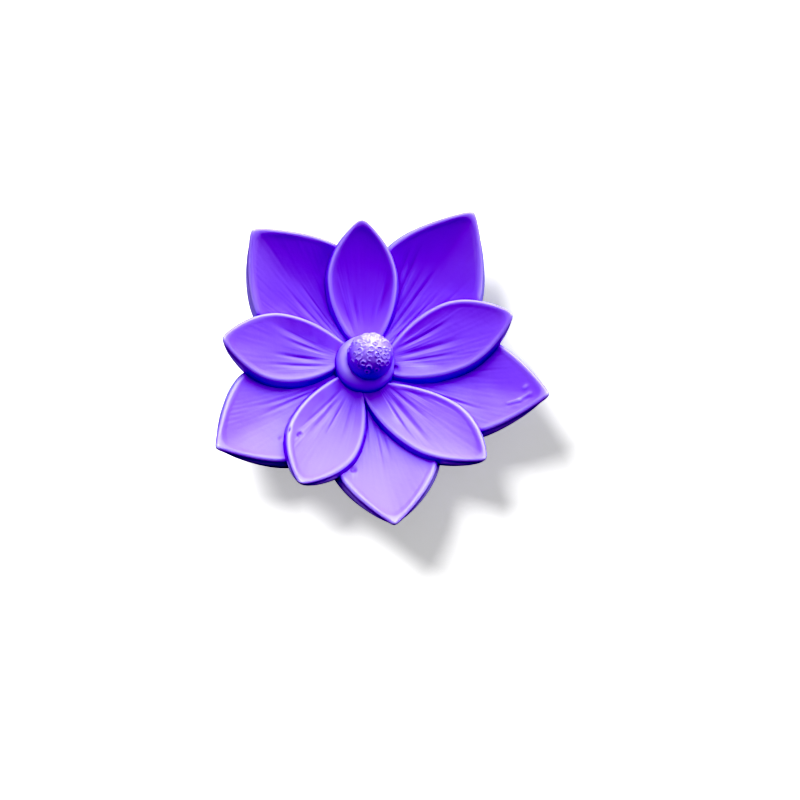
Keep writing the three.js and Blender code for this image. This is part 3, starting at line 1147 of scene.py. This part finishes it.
class LOTUS_OT_casting(bpy.types.Operator):
    """Builds the violet casting: ten petals, the seed head and the flat back, in one body"""

    bl_idname = "lotus.casting"
    bl_label = "Build the casting"

    def execute(self, context):
        settings = context.scene.lotus_casting
        random = np.random.default_rng(settings.seed)
        casting, *petals = [
            petal_solid(f"petal_{number}", petal, random) for number, petal in enumerate(PETALS)
        ]
        seed_head = [shoulder_solid(), cap_solid(settings.rings, random), hub_solid()]
        join_and_cut(casting, petals + seed_head, block_below_back())
        mesh = casting.data
        require_closed(mesh)
        casting.name = CASTING
        mesh.name = CASTING
        mark_surface(mesh)
        fit_to_box(mesh, *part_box(NODE))
        mesh.shade_smooth()
        mesh.set_sharp_from_angle(angle=CREASE_ANGLE)
        # The ridge value drives the painted shade in grooves and pits and the painted highlight on ridges.
        new_point_value(mesh, "ridge", ridge_values(mesh))
        mesh.materials.clear()
        mesh.materials.append(violet_resin(settings))
        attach(casting, BODY)
        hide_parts(NODE)
        return {"FINISHED"}


class LOTUS_OT_studio(bpy.types.Operator):
    """Builds the floor, the lights and the camera. The casting has to be there first"""

    bl_idname = "lotus.studio"
    bl_label = "Build the studio"

    def execute(self, context):
        scene = context.scene
        casting = bpy.data.objects.get(CASTING)
        if casting is None:
            raise RuntimeError("Build the casting first: the lights are set to light it alone")
        settings = scene.lotus_studio
        floor = white_floor(settings.bounce)
        scene.world = white_room(settings.sky)
        self.light(settings, casting, floor)
        view = scene.view_settings
        view.view_transform = "Standard"
        view.look = LOOK
        view.use_curve_mapping = True
        view.curve_mapping.black_level = (BLACK_LEVEL, BLACK_LEVEL, BLACK_LEVEL)
        scene.camera = top_camera()
        return {"FINISHED"}

    def light(self, settings, casting, floor):
        """The key, the narrow light, the fill and the two sides for the casting, a wash for the floor."""
        key = soft_light(
            "key",
            settings.key_strength,
            settings.key_colour,
            direction(settings.key_heading, settings.key_height),
            settings.key_softness,
        )
        spot = narrow_light(
            "spot",
            settings.spot_power,
            settings.key_colour,
            direction(settings.key_heading, settings.spot_height),
            settings.spot_radius,
        )
        fill = soft_light(
            "fill",
            settings.fill_strength,
            settings.fill_colour,
            Vector((0, 0, 1)),
            settings.fill_softness,
        )
        fill.visible_glossy = False
        sides = [
            soft_light(
                "side",
                settings.side_strength,
                WHITE[:3],
                direction(heading, settings.side_height),
                settings.side_softness,
            )
            for heading in SIDE_HEADINGS
        ]
        wash = soft_light(
            "floor_wash",
            settings.wash_strength,
            WHITE[:3],
            direction(settings.wash_heading, settings.wash_height),
            settings.wash_softness,
        )
        light_only([wash], floor)
        light_only([key, spot, fill, *sides], casting)


class LOTUS_PT_panel(bpy.types.Panel):
    """Lists the settings and the two steps"""

    bl_idname = "LOTUS_PT_panel"
    bl_label = "Lotus flower"
    bl_space_type = "VIEW_3D"
    bl_region_type = "UI"
    bl_category = "Lotus"

    def draw(self, context):
        scene = context.scene
        for group, operator in (
            (scene.lotus_casting, LOTUS_OT_casting),
            (scene.lotus_studio, LOTUS_OT_studio),
        ):
            box = self.layout.box()
            for name in group.__annotations__:
                box.prop(group, name)
            box.operator(operator.bl_idname)


CLASSES = (CastingSettings, StudioSettings, LOTUS_OT_casting, LOTUS_OT_studio, LOTUS_PT_panel)


def register():
    for each in CLASSES:
        bpy.utils.register_class(each)
    bpy.types.Scene.lotus_casting = PointerProperty(type=CastingSettings)
    bpy.types.Scene.lotus_studio = PointerProperty(type=StudioSettings)


def unregister():
    del bpy.types.Scene.lotus_studio
    del bpy.types.Scene.lotus_casting
    for each in reversed(CLASSES):
        bpy.utils.unregister_class(each)


def main():
    register()
    bpy.ops.lotus.casting()
    bpy.ops.lotus.studio()


if __name__ == "__main__":
    main()
